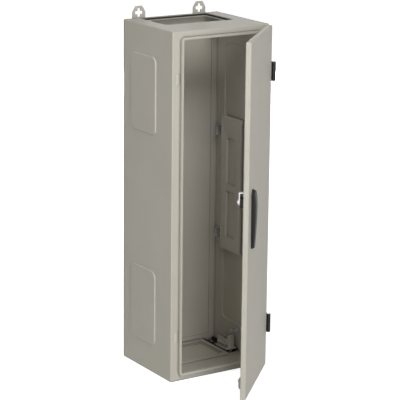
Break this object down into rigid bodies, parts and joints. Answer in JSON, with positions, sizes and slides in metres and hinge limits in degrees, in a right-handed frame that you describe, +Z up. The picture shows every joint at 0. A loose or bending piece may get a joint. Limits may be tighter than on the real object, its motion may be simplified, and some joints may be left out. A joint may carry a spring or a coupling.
{
  "type": "electrical enclosure",
  "caption": "Tall narrow wall mounted sheet steel distribution enclosure with a hinged tray door standing open, cranked wall lugs and a sunk cable entry in its top",
  "frame": {"origin": "under the middle of the body, on the plane it stands on", "axes": "+Z up, front and door towards -Y, hinges at +X"},
  "size_m": [0.3108, 0.4938, 0.98],
  "materials": {
    "paint": "light grey powder coat with a fine texture",
    "zinc_steel": "bright zinc plated steel",
    "black_cast": "black coated zinc die casting",
    "black_plastic": "black glass filled plastic",
    "grey_plastic": "grey moulded plastic",
    "pale_plastic": "light grey moulded plastic",
    "pale_foam": "pale foam seal",
    "black_foam": "black foamed gasket"
  },
  "bodies": {
    "body": {"front_frame": "paint", "side_wall_left": "paint", "side_wall_right": "paint", "top_panel": "paint", "bottom_panel": "paint", "rear_panel": "paint", "wall_lug_left": "paint", "wall_lug_right": "paint", "lug_screws": "zinc_steel", "entry_seal": "black_foam", "gland_plate": "paint", "gland_seal": "pale_foam", "gland_screws": "zinc_steel", "side_insert": "pale_plastic", "bracket_left_upper": "zinc_steel", "bracket_left_lower": "zinc_steel", "bracket_right_upper": "zinc_steel", "bracket_right_lower": "zinc_steel", "earth_stud": "zinc_steel", "earth_washer": "zinc_steel", "earth_nut": "zinc_steel", "terminal_rail": "zinc_steel", "rail_screws": "zinc_steel", "terminal_block": "pale_plastic", "terminal_screws": "zinc_steel", "terminal_end_stop": "pale_plastic", "hinge_plugs": "pale_plastic", "hinge_arm_upper": "black_cast", "hinge_arm_lower": "black_cast", "hinge_pin_upper": "zinc_steel", "hinge_pin_lower": "zinc_steel"},
    "door": {"door_panel": "paint", "door_gasket": "black_foam", "hinge_leaf_upper": "black_cast", "hinge_leaf_lower": "black_cast", "leaf_nuts": "zinc_steel", "handle_base": "black_plastic", "lock_housing": "black_plastic", "housing_screws": "zinc_steel", "door_wedge": "grey_plastic", "wedge_screw": "zinc_steel"},
    "handle": {"lever": "black_plastic", "spindle": "zinc_steel", "lock_cam": "zinc_steel", "cam_screw": "zinc_steel"}
  },
  "joints": [
    {"name": "door_hinge", "type": "hinge", "parent": "body", "child": "door", "pos_m": [0.152, -0.145, 0.475], "axis": [0, 0, 1], "range_deg": [-45.3, 84.7]},
    {"name": "handle_turn", "type": "hinge", "parent": "door", "child": "handle", "pos_m": [-0.0274, -0.31989, 0.527], "axis": [0.7108, -0.7034, 0], "range_deg": [0, 90]}
  ]
}
